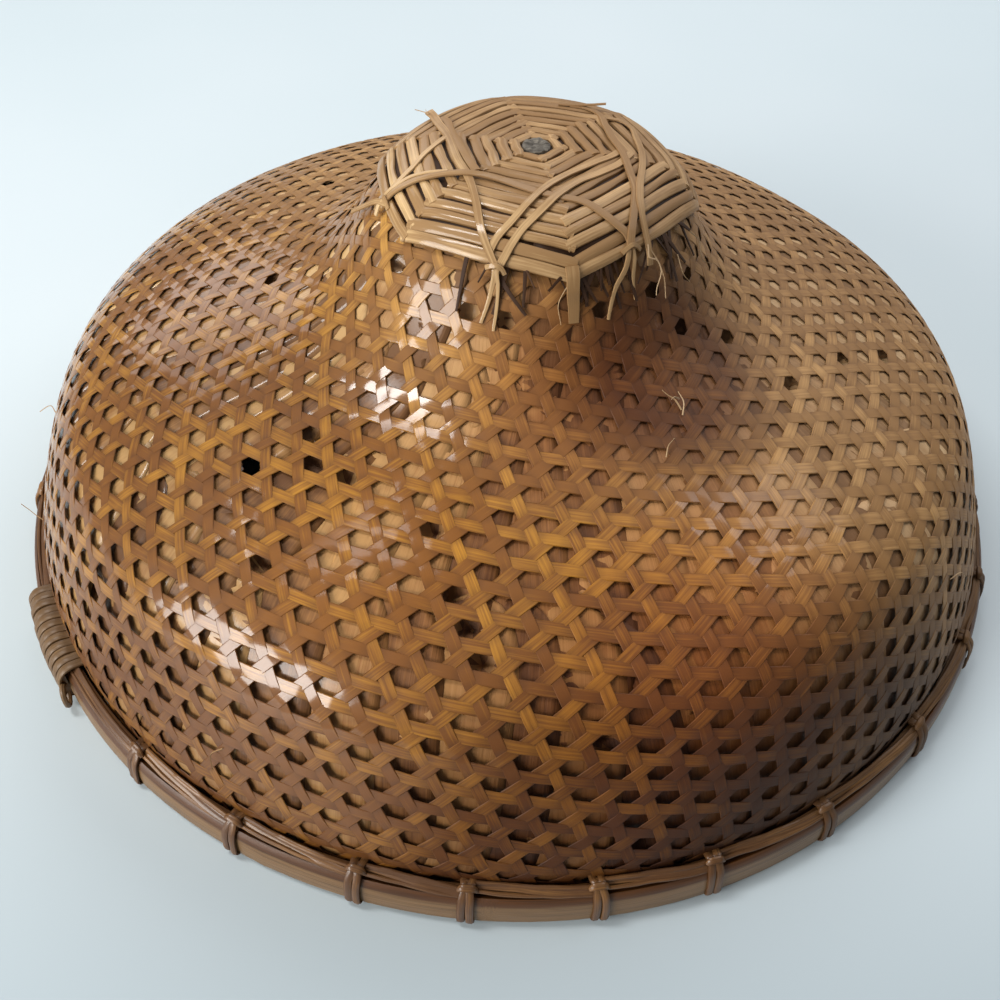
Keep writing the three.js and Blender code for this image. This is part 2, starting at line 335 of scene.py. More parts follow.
class Finish:
    """A new material and its nodes"""

    def __init__(self, name):
        self.material = bpy.data.materials.new(name)
        self.material.use_nodes = True
        self.tree = self.material.node_tree
        self.tree.nodes.clear()

    def node(self, kind, settings=None, inputs=None, out=0):
        return add_node(self.tree, kind, settings, inputs, out)

    def object_place(self):
        return self.node("ShaderNodeTexCoord", out=3)

    def parts(self, vector):
        """The three numbers of a vector"""
        first = self.node("ShaderNodeSeparateXYZ", None, {0: vector})
        return [Wire(self.tree, socket) for socket in first.socket.node.outputs]

    def strand_map(self):
        """Along the strand in metres, and across it from 0 to 1"""
        return self.parts(self.node("ShaderNodeUVMap"))[:2]

    def attribute(self, name):
        return self.node("ShaderNodeAttribute", {"attribute_name": name}, out=2)

    def noise(self, where, scale, detail=2.0, roughness=0.5):
        inputs = {"Vector": where, "Scale": scale, "Detail": detail, "Roughness": roughness}
        return self.node("ShaderNodeTexNoise", None, inputs)

    def grain(self, x, y, z=0.0, detail=2.0, roughness=0.5):
        """Noise drawn out along a strand"""
        where = self.node("ShaderNodeCombineXYZ", None, {0: x, 1: y, 2: z})
        return self.noise(where, 1.0, detail, roughness)

    def cloud(self, scale, detail=2.0, roughness=0.5):
        """Blotches that run on over the whole hat"""
        return self.noise(self.object_place(), scale, detail, roughness)

    def blend(self, share, first, second):
        """A colour between two, each a wire or 0 to 255 values"""
        first, second = ((*linear(c), 1) if isinstance(c, tuple) else c for c in (first, second))
        settings = {"data_type": "RGBA", "clamp_factor": True}
        return self.node("ShaderNodeMix", settings, {0: share, 6: first, 7: second}, out=2)

    def shade(self, tint, share, darker_tint=(0.12, 0.06, 0.03)):
        """A colour multiplied by a darker one, by a share, for stains and painted shade alike"""
        settings = {"data_type": "RGBA", "blend_type": "MULTIPLY", "clamp_factor": True}
        return self.node("ShaderNodeMix", settings, {0: share, 6: tint, 7: (*darker_tint, 1)}, out=2)

    def ramp(self, value, *stops):
        return self.node("ShaderNodeValToRGB", {"stops": stops}, {0: value})

    def span(self, value, low, high, to_low=0.0, to_high=1.0):
        limits = {0: value, 1: low, 2: high, 3: to_low, 4: to_high}
        return self.node("ShaderNodeMapRange", {"clamp": True}, limits)

    def bump(self, height, strength, distance):
        inputs = {"Height": height, "Strength": strength, "Distance": distance}
        return self.node("ShaderNodeBump", None, inputs)

    def done(self, base, roughness, normal, specular=0.5, coat=None, coat_roughness=0.1):
        """The whole material; coat is the share of varnish over it"""
        inputs = {"Base Color": base, "Roughness": roughness, "Specular IOR Level": specular}
        if normal:
            inputs["Normal"] = normal
        if coat:
            inputs.update({"Coat Weight": coat, "Coat Roughness": coat_roughness, "Coat IOR": COAT_IOR})
        shader = self.node("ShaderNodeBsdfPrincipled", None, inputs)
        output = self.tree.nodes.new("ShaderNodeOutputMaterial")
        self.tree.links.new(shader.socket, output.inputs[0])
        return self.material


COAT_IOR = 1.66
# Amber tint of thick varnish and of painted shade
AMBER_VARNISH_AND_SHADE = (0.88, 0.57, 0.27)
CANE_SPECULAR = 0.32
CANE_STOPS = (0.2, 0.5, 0.8)
# Where the leaf has gone brown: middle, full and last distance in metres, strength
BROWN_LEAF = ((0.035, -0.14, 0.1), 0.045, 0.15, 0.62)
BROWN_LEAF_TINT = (0.66, 0.44, 0.3)
# Where the varnish is rubbed matt, in the same measures
RUBBED = ((-0.05, -0.126, 0.102), 0.033, 0.05, 0.9)
# The varnish thins out to the right and to the back, where the colour also turns from the warm lit side to a
# greyer painted shade: how fast, and from where to where
VARNISH_AND_LIGHT_FADE = (1.6, 1.5)
VARNISH_AND_LIGHT_EDGE = (0.06, 0.3)
# Tint of the painted shade on the front-right wall
GREY_SHADE = (0.18, 0.13, 0.11)
# Brown tint of dirt and of painted shade
BROWN_SOIL_AND_SHADE = (0.38, 0.27, 0.2)
# Height in metres of the darker lower edge near the rim, dirt and painted shade, full and last
SOILED_AND_SHADED_EDGE = (0.016, 0.034)
# Thick varnish, dirt and painted shade on the weave, in the same measures, and the tint
STAINS_AND_SHADE = [
    # Darker amber at the front, the front right and the crown's front base: thick varnish and painted shade
    ((0.0, -0.15, 0.09), 0.04, 0.13, 0.2, AMBER_VARNISH_AND_SHADE),
    ((0.075, -0.165, 0.075), 0.015, 0.075, 0.75, AMBER_VARNISH_AND_SHADE),
    ((0.02, -0.075, 0.13), 0.01, 0.05, 0.5, AMBER_VARNISH_AND_SHADE),
    # Painted shade on the lower front wall, with some dirt
    ((0.02, -0.215, 0.02), 0.035, 0.12, 0.8, BROWN_SOIL_AND_SHADE),
    ((0.03, -0.205, 0.034), 0.03, 0.07, 0.45, BROWN_SOIL_AND_SHADE),
    # Darker patches low on the left, midway up the left, and on the right towards the back
    ((-0.18, -0.1, 0.015), 0.03, 0.1, 0.35, BROWN_SOIL_AND_SHADE),
    ((-0.12, -0.16, 0.03), 0.03, 0.08, 0.6, BROWN_SOIL_AND_SHADE),
    ((-0.115, -0.075, 0.1), 0.03, 0.085, 0.45, BROWN_SOIL_AND_SHADE),
    ((0.11, 0.03, 0.105), 0.04, 0.1, 0.2, BROWN_SOIL_AND_SHADE),
    # Painted shade on the front-right wall, which faces away from the lights
    ((0.12, -0.172, 0.02), 0.04, 0.085, 0.85, GREY_SHADE),
    ((0.175, -0.11, 0.015), 0.02, 0.08, 0.5, GREY_SHADE),
    # Painted shadow of the crown on its right-front side
    ((0.054, -0.064, 0.124), 0.024, 0.052, 1.0, BROWN_SOIL_AND_SHADE),
]


def varnish_and_lit_side_zone(finish):
    """1 where the varnish is thick and the colour warm as lit, at the front and left; 0 where it is dull and
    greyer, painted shade
    """
    across, deep, _ = finish.parts(finish.object_place())
    level = finish.cloud(9.0) * 0.2 - across * VARNISH_AND_LIGHT_FADE[0] - deep * VARNISH_AND_LIGHT_FADE[1]
    return finish.span(level, *VARNISH_AND_LIGHT_EDGE)


def near_place(finish, middle, near, far, strength):
    """Full strength out to a near distance from a place on the hat, none beyond a far one"""
    ends = {0: finish.object_place(), 1: middle}
    away = finish.node("ShaderNodeVectorMath", {"operation": "DISTANCE"}, ends, out=1)
    return finish.span(away, near, far, strength, 0)


def stained_and_shaded(finish, base):
    """A colour with stains, dirt and painted shade laid over it, the lower edge darker too, and how much of
    it is dirt and painted shade
    """
    _, _, height = finish.parts(finish.object_place())
    # Darker towards the rim: dirt and painted shade
    soil_and_shade = finish.span(height, *SOILED_AND_SHADED_EDGE, 0.5, 0)
    base = finish.shade(base, soil_and_shade, BROWN_SOIL_AND_SHADE)
    for *place, tint in STAINS_AND_SHADE:
        share = near_place(finish, *place)
        base = finish.shade(base, share, tint)
        soil_and_shade = soil_and_shade if tint == AMBER_VARNISH_AND_SHADE else soil_and_shade + share
    return base, soil_and_shade


def cane_finish(name, golden, dull, gloss, shine=1.0, with_stains_and_shade=False):
    """golden, dull: dark, middle and light tone with varnish on the lit side, and without it in painted shade

    gloss and shine are the varnish's roughness and share.
    """
    finish = Finish(name)
    along, across = finish.strand_map()
    tone, dip = finish.attribute("tone"), finish.attribute("dip")
    grain = finish.grain(along * 40, across * 6, tone * 31, 3.0, 0.6)
    blotch = finish.cloud(80.0)
    varnish = varnish_and_lit_side_zone(finish)
    level = grain * 0.64 + tone * 0.28 + blotch * 0.3 + finish.cloud(18.0) * 0.4 - 0.56
    shiny = finish.ramp(level, *zip(CANE_STOPS, golden))
    dry = finish.ramp(level, *zip(CANE_STOPS, dull))
    # Blend partly of real varnish, partly of painted light: warm where lit, greyer in shade
    base = finish.blend(varnish * 0.92 + 0.06, dry, shiny)
    edge = across.away_from(0.5)
    # Darker along the split's edges, and painted contact shade, with some dirt, where it dips under the next
    # split
    base = finish.shade(base, finish.span(edge, 0.36, 0.5) * 0.2 + dip * 0.34)
    base, soil_and_shade = stained_and_shaded(finish, base) if with_stains_and_shade else (base, 0.0)
    rubbed = near_place(finish, *RUBBED)
    coat = finish.span(varnish - rubbed - soil_and_shade - finish.span(edge, 0.42, 0.46), 0, 1, 0, shine)
    ridges = finish.grain(along * 24, across * 12, tone * 31)
    normal = finish.bump(ridges + blotch * 0.8, 0.4, 0.00014)
    return finish.done(base, grain * 0.2 + 0.5, normal, CANE_SPECULAR, coat, gloss)


def leaf_finish():
    finish = Finish("dry_leaf")
    along, across = finish.strand_map()
    tone = finish.attribute("tone")
    fibre = finish.grain(along * 12, across * 46, tone * 17, 3.0, 0.7)
    blotch = finish.cloud(95.0, 2.0, 0.6)
    varnish = varnish_and_lit_side_zone(finish)
    level = fibre * 0.6 + blotch * 0.9 + tone * 0.85 - 0.72
    dry = finish.ramp(level, (0.15, (136, 102, 66)), (0.5, (180, 142, 98)), (0.85, (208, 174, 130)))
    soaked = finish.ramp(level, (0.15, (112, 74, 38)), (0.5, (168, 122, 68)), (0.85, (206, 166, 106)))
    brown = near_place(finish, *BROWN_LEAF)
    # Blend partly of real varnish, partly of painted light: warm where lit, greyer in shade
    base = finish.shade(finish.blend(varnish * 0.9, dry, soaked), brown, BROWN_LEAF_TINT)
    base, soil_and_shade = stained_and_shaded(finish, base)
    coat = finish.span(varnish - near_place(finish, *RUBBED) - soil_and_shade - brown * 1.4, 0, 1)
    return finish.done(base, 0.6, finish.bump(fibre, 0.6, 0.0004), CANE_SPECULAR, coat, 0.18)


# Heights in millimetres between which the bamboo goes from pale to brown: its own brown with painted shade
# under the filler
BAMBOO_EDGE = (9.6, 11.2)


def bamboo_finish(name, upper, lower, streak):
    """Bamboo that is brown on its upper edge, its own brown with painted shade under the filler, and paler
    down its outer face
    """
    finish = Finish(name)
    along, across = finish.strand_map()
    _, _, height = finish.parts(finish.object_place())
    around = height / MM - across
    fibre = finish.grain(along * 20, around * 1.7, 0.0, 3.0, 0.65)
    sway = finish.grain(along * 7, 0.0)
    patch = finish.grain(along * 22, around * 0.2)
    brown = finish.span(around + sway * 4 + fibre * 2.5 - 3.2, *BAMBOO_EDGE)
    base = finish.blend(brown, lower, upper)
    base = finish.blend(finish.span(fibre, 0.5, 0.72) * 0.7, base, streak)
    base = finish.shade(base, finish.span(patch, 0.5, 0.8) * 0.45)
    normal = finish.bump(fibre, 0.4, 0.0003)
    return finish.done(base, finish.span(fibre, 0.2, 0.8, 0.34, 0.5), normal)


def plug_finish():
    finish = Finish("grey_end_grain")
    across, deep, height = finish.parts(finish.object_place())
    layers = finish.grain(across * 160, deep * 900, height * 900, 3.0, 0.7)
    level = layers * 0.8 + finish.cloud(260.0) * 0.5 - 0.15
    base = finish.ramp(level, (0.25, (44, 38, 34)), (0.5, (104, 98, 90)), (0.8, (156, 148, 134)))
    return finish.done(base, 0.85, finish.bump(layers, 0.7, 0.0005), specular=0.25)


def floor_finish():
    finish = Finish("pale_table")
    _, deep, _ = finish.parts(finish.object_place())
    base = finish.blend(finish.span(finish.cloud(3.0), 0.3, 0.7), (206, 219, 224), (212, 223, 228))
    # Darker towards the front: painted shade on the table
    base = finish.blend(finish.span(deep, -0.29, -0.1, 0.75, 0), base, (162, 177, 185))
    return finish.done(base, 0.6, None, specular=0.25)


cane = cane_finish(
    "varnished_cane",
    ((134, 83, 18), (197, 140, 40), (231, 184, 74)),
    ((154, 114, 68), (199, 155, 101), (221, 184, 130)), 0.1, with_stains_and_shade=True)
cap_cane = cane_finish(
    "dry_cap_cane",
    ((166, 128, 80), (225, 190, 136), (245, 220, 176)),
    ((146, 110, 70), (194, 156, 110), (222, 190, 144)), 0.14)
rim_cane = cane_finish(
    "rim_cane",
    ((88, 54, 22), (144, 100, 50), (190, 146, 88)),
    ((90, 62, 34), (142, 104, 62), (182, 144, 98)), 0.24, 0.45)
splice_cane = cane_finish(
    "splice_cane",
    ((104, 76, 44), (150, 118, 76), (190, 158, 112)),
    ((104, 80, 52), (146, 118, 82), (184, 156, 116)), 0.36, 0.3)
pale_fibre = cane_finish(
    "pale_fibre",
    ((166, 130, 86), (204, 172, 128), (230, 208, 174)),
    ((176, 146, 110), (212, 186, 152), (234, 218, 194)), 0.4, 0.2)
# Dark cane: painted shade for the sheet under the cap, and the dark split ends below the hem
painted_shade_and_dark_ends = cane_finish(
    "painted_shade_and_dark_end_cane",
    ((58, 32, 12), (92, 56, 24), (124, 82, 42)),
    ((56, 34, 16), (86, 56, 30), (112, 80, 48)), 0.6, 0.0)
leaf = leaf_finish()
# The brown upper tone is partly painted shade on the hoops' tops
hoop_bamboo = bamboo_finish("hoop_bamboo", (88, 52, 20), (130, 97, 60), (48, 27, 12))
inner_bamboo = bamboo_finish("inner_bamboo", (128, 92, 54), (150, 116, 74), (100, 68, 36))
plug_grain = plug_finish()
table = floor_finish()


# Woven shell: every split lies straight on the developed hat, which has two thirds of a full turn

FAMILIES = 4
LATTICE_TURN = 2 / 3
LATTICE_SWAY = 5
LATTICE_SHIFT = 22
FAMILY_START = -10.5
LINE_SPACING = 9.7
CROSSING_STEP = LINE_SPACING / math.sqrt(3)
WEAVE_TRIM = 294
WEAVE_INNER = 18
WEAVE_MIDDLE = -0.5
WEAVE_RISE = 0.12
SPLIT_WIDTH = 4.25
# The splits lie closer at the right: azimuth, extra width
CLOSE_SIDE = (80, 0.3)
SPLIT_THICKNESS = 0.23
SPLIT_STEP = 1.55
FLATNESS = 1.7

turn_table = np.linspace(-540, 540, 1081)
lattice_table = LATTICE_TURN * turn_table - LATTICE_SWAY * np.sin(np.radians(turn_table))


def squared(wave):
    """A wave with flat tops, as a split lies flat where it crosses another"""
    return np.tanh(FLATNESS * wave) / math.tanh(FLATNESS)


def weave_family(number):
    family = Strands()
    outer, inner = WEAVE_TRIM + LATTICE_SHIFT, WEAVE_INNER + LATTICE_SHIFT
    for line in range(int(outer / LINE_SPACING)):
        distance = (line + 0.5) * LINE_SPACING + random.normal(0, 0.16)
        reach = math.sqrt(outer ** 2 - distance ** 2)
        along = np.linspace(-reach, reach, int(2 * reach / SPLIT_STEP) + 2)
        offset = distance + wobble(along, 75, 0.35)
        arc = np.hypot(offset, along) - LATTICE_SHIFT
        lattice = FAMILY_START + 60 * number + np.degrees(np.arctan2(along, offset))
        azimuth = np.interp(lattice, lattice_table, turn_table)
        over = squared(np.sin(math.pi * along / CROSSING_STEP)) * (-1) ** line
        lift = WEAVE_MIDDLE + WEAVE_RISE * over + wobble(along, 34, 0.04)
        path, facing = weave_face.place(azimuth, arc, lift)
        width = SPLIT_WIDTH + CLOSE_SIDE[1] * np.cos(np.radians(azimuth - CLOSE_SIDE[0]))
        width = width + random.normal(0, 0.12) + wobble(along, 50, 0.2)
        tone = random.random()
        ends = np.flatnonzero(np.diff((np.hypot(distance, along) > inner).astype(int)))
        for part in np.split(np.arange(len(along)), ends + 1):
            if len(part) > 3 and math.hypot(distance, along[part].mean()) > inner or len(ends) == 0:
                dip = (1 - over[part]) / 2
                family.add(path[part], facing[part], width[part], SPLIT_THICKNESS, tone=tone, dip=dip)
    return family


for number in range(FAMILIES):
    finish_piece(weave_family(number).make(f"weave_splits_{number + 1}", cane), "woven_shell", "woven_shell")


# Leaf layer

# Rings of leaf blades: middle arc, half length, half width, count, lift
LEAF_RINGS = [
    (60, 58, 15, 22, -1.3),
    (152, 68, 19, 44, -1.32),
    (233, 56, 19, 56, -1.16),
]
# The leaf hangs deeper at the front: azimuth, arc, extra depth, spread in degrees and in arc
LEAF_SAGS = [
    (-15, 165, 0.75, 45, 45), (8, 242, 1.7, 50, 38), (-45, 222, 0.9, 34, 34), (-80, 190, 0.3, 40, 50),
]
LEAF_ROWS = 36
LEAF_COLUMNS = 10
LEAF_HEM = 289
LEAF_THICKNESS = 0.25
BLADE_CURL = 0.12
MIDRIB_DEPTH = 0.1
MIDRIB_SPREAD = 0.12
# Towards the rim the leaf lies closer again: where the fade ends, its length, what is left
SAG_FADE = (284, 25, 0.2)
# Holes of the weave with no leaf behind them: azimuth, arc
LEAF_HOLES = [(-42.8, 154.4), (-128, 140), (160, 150), (205, 200), (118, 226)]
LEAF_HOLE_RADIUS = 5.9
# Holes of the weave where the leaf hangs far down: azimuth, arc
LEAF_HOLLOWS = [
    (-3.9, 170.9), (-2.2, 181.4), (-0.8, 192.3), (-36.5, 136.5), (-29, 141), (-33, 147), (-14.5, 152.8),
    (-31, 187), (-47.2, 70), (-9.9, 73), (39.6, 72), (66, 76), (24, 76), (-20, 74), (50, 92), (62, 104),
    (-70, 232), (31, 246), (75, 150), (83, 170), (66, 131), (58, 262), (12, 262), (-88, 118), (-52, 240),
    (8, 222),
]
HOLLOW_DEPTH = 5
HOLLOW_RADIUS = 4.6


def nearest_hole(azimuth, arc):
    """Middle of the weave's nearest hole: it lies whole line spacings away along the lines' directions"""
    lattice = np.interp(azimuth, turn_table, lattice_table)
    first = FAMILY_START + 60 * round((lattice - FAMILY_START) / 60)
    turns = np.radians([first, first + 60])
    reach = (arc + LATTICE_SHIFT) * np.cos(np.radians(lattice) - turns)
    steps = np.round(reach / LINE_SPACING) * LINE_SPACING
    way = np.array([[math.cos(turn), math.sin(turn)] for turn in turns])
    x, y = np.linalg.solve(way, steps)
    turned = np.interp(math.degrees(math.atan2(y, x)), lattice_table, turn_table)
    return turned, math.hypot(x, y) - LATTICE_SHIFT


def from_hole(azimuth, arc, hole):
    """Distance from the middle of the weave's hole nearest to a place"""
    there, level = nearest_hole(*hole)
    side = np.radians(turn_apart(azimuth, there)) * weave_face.radius_at(level)
    return np.hypot(side, arc - level)


def leaf_depth(azimuth, arc):
    """How much deeper the leaf hangs than elsewhere"""
    sag = sum(depth * np.exp(-(turn_apart(azimuth, middle) / spread) ** 2 - ((arc - level) / reach) ** 2)
              for middle, level, depth, spread, reach in LEAF_SAGS)
    hollows = sum(np.exp(-(from_hole(azimuth, arc, hole) / HOLLOW_RADIUS) ** 4) for hole in LEAF_HOLLOWS)
    return (sag + HOLLOW_DEPTH * hollows) * np.clip((SAG_FADE[0] - arc) / SAG_FADE[1], SAG_FADE[2], 1)


def sheet_faces(kept, first):
    """Quads between the rows and columns of a grid of points that starts at first"""
    rows, columns = kept.shape
    corner = first + np.arange(rows * columns).reshape(rows, columns)
    quads = np.stack([corner[:-1, :-1], corner[1:, :-1], corner[1:, 1:], corner[:-1, 1:]], -1)
    whole = kept[:-1, :-1].astype(int) + kept[1:, :-1] + kept[1:, 1:] + kept[:-1, 1:] > 2
    return quads[whole].tolist()


def thicken(piece, thickness):
    """Gives a sheet its thickness, inwards, and drops points that no face uses"""
    work_on(piece)
    bpy.ops.object.mode_set(mode="EDIT")
    bpy.ops.mesh.select_all(action="SELECT")
    bpy.ops.mesh.delete_loose()
    bpy.ops.object.mode_set(mode="OBJECT")
    bpy.ops.object.modifier_add(type="SOLIDIFY")
    modifier = piece.modifiers[-1]
    modifier.thickness = thickness * MM
    modifier.offset = -1
    bpy.ops.object.modifier_apply(modifier=modifier.name)
    return piece


def leaf_blades():
    points, faces, places, tones = [], [], [], []
    length_share, width_share = np.meshgrid(
        np.linspace(-1, 1, LEAF_ROWS), np.linspace(-1, 1, LEAF_COLUMNS), indexing="ij")
    for middle, half_length, half_width, count, ring_lift in LEAF_RINGS:
        for blade in range(count):
            start = (blade + random.uniform(-0.22, 0.22)) * 360 / count
            turn = math.radians(random.normal(0, 5))
            tone = random.random()
            width = half_width * random.uniform(0.88, 1.12) * np.sqrt(1.02 - np.abs(length_share) ** 4)
            across, along = width * width_share, half_length * length_share + random.uniform(-6, 6)
            arc = middle + along * math.cos(turn) - across * math.sin(turn)
            side = across * math.cos(turn) + along * math.sin(turn)
            azimuth = start + np.degrees(side / np.maximum(weave_face.radius_at(arc), 14))
            inside = arc < LEAF_HEM
            arc = np.clip(arc, 1, LEAF_HEM)
            lift = (ring_lift - leaf_depth(azimuth, arc) + BLADE_CURL * width_share
                    - MIDRIB_DEPTH * bell(width_share, MIDRIB_SPREAD)
                    + wobble(along + across, 60, 0.1) + wobble(along - 2 * across, 23, 0.06))
            place, _ = weave_face.place(azimuth, arc, lift)
            empty = np.any([from_hole(azimuth, arc, hole) < LEAF_HOLE_RADIUS for hole in LEAF_HOLES], axis=0)
            faces += sheet_faces(inside & ~empty, len(points) * place.size // 3)
            points.append(place.reshape(-1, 3))
            grain = [(along + 200 * tone) * MM, (across + 400 * tone) * MM * 20]
            places.append(np.stack(grain, -1).reshape(-1, 2))
            tones.append(np.full(place.size // 3, tone))
    values = {"tone": np.concatenate(tones)}
    piece = mesh_piece("leaf_blades", np.concatenate(points), faces, np.concatenate(places), values, leaf, 50)
    return thicken(piece, LEAF_THICKNESS)


finish_piece(leaf_blades(), "leaf_layer", "leaf_layer")


# Crown cap: splits wound in hexagons, each side of a hexagon its own length between two corners

# Corners of the hem: azimuth, arc, height that the cap stands off there
CAP_CORNERS = [(-50, 62.5, 0.6), (14, 64, 0.8), (86, 68, 2.2), (137, 65, 1.0), (197, 63, 0.8), (257, 63, 0.6)]
WINDING_COUNT = 12
WINDING_STEP = 0.0785
WINDING_WIDTH = 4.05
WINDING_THICKNESS = 1.3
HEM_SQUARENESS = 0.62
WINDING_OVERLAP = 1.9
# Where two windings cross at a corner, one rises and the other dips: lift, share of the winding
CROSS_LIFT = 0.34
CROSS_SHARE = 0.07
NOTCH_DEPTH = 0.8
NOTCH_SPREAD = 0.12
NOTCHED_SHARE = 0.4
# The cap stands out near its corners: spread in degrees, arc where it starts and ends, with the way it takes
CORNER_SPREAD = 17
CORNER_RISE = (25, 35)
CORNER_FALL = (78, 10)


def corner_rise(azimuth, arc):
    """How far the cap stands out towards its corners, most at the hem"""
    rise = sum(height * bell(turn_apart(azimuth, corner), CORNER_SPREAD) for corner, _, height in CAP_CORNERS)
    begin, end = (arc - CORNER_RISE[0]) / CORNER_RISE[1], (CORNER_FALL[0] - arc) / CORNER_FALL[1]
    return rise * np.clip(begin, 0, 1) * np.clip(end, 0, 1)


def on_plane(azimuth, arc):
    """A place on the crown as a point of a flat drawing of it"""
    angle = np.radians(azimuth)
    return np.stack([arc * np.sin(angle), -arc * np.cos(angle)], -1)


def from_plane(flat):
    return np.degrees(np.arctan2(flat[..., 0], -flat[..., 1])), np.hypot(flat[..., 0], flat[..., 1])


def cap_windings():
    splits = Strands()
    for winding in range(WINDING_COUNT):
        share_in = 1 - winding * WINDING_STEP
        squareness = np.interp(share_in, [0.2, 1], [1.0, HEM_SQUARENESS])
        for index, (corner, corner_arc, _) in enumerate(CAP_CORNERS):
            following, following_arc, _ = CAP_CORNERS[(index + 1) % len(CAP_CORNERS)]
            following += 360 if following < corner else 0
            ends = np.array([corner_arc, following_arc]) * share_in + random.normal(0, 0.35, 2)
            flat = on_plane(np.array([corner, following]), ends)
            extra = WINDING_OVERLAP / np.linalg.norm(flat[1] - flat[0])
            share = np.linspace(-extra, 1 + extra, max(8, int(ends.mean() / 1.7)))
            azimuth, arc = from_plane(flat[0] + share[:, None] * (flat[1] - flat[0]))
            arc = squareness * arc + (1 - squareness) * (ends[0] + share * (ends[1] - ends[0]))
            arc = arc + wobble(share, 1.1, 0.35)
            cross = CROSS_LIFT * (bell(share, CROSS_SHARE) - bell(1 - share, CROSS_SHARE))
            lift = corner_rise(azimuth, arc) + random.normal(-0.45, 0.14) + (cross if index % 2 else -cross)
            path, facing = cap_face.place(azimuth, arc, lift)
            width = WINDING_WIDTH + random.normal(0, 0.3) + wobble(share, 1.4, 0.35)
            notch = NOTCH_DEPTH * bell(share - random.uniform(0.2, 0.8), NOTCH_SPREAD)
            width = width - notch * (random.random() < NOTCHED_SHARE)
            splits.add(path, facing, width, WINDING_THICKNESS, section=ROUND_SPLIT)
    return splits


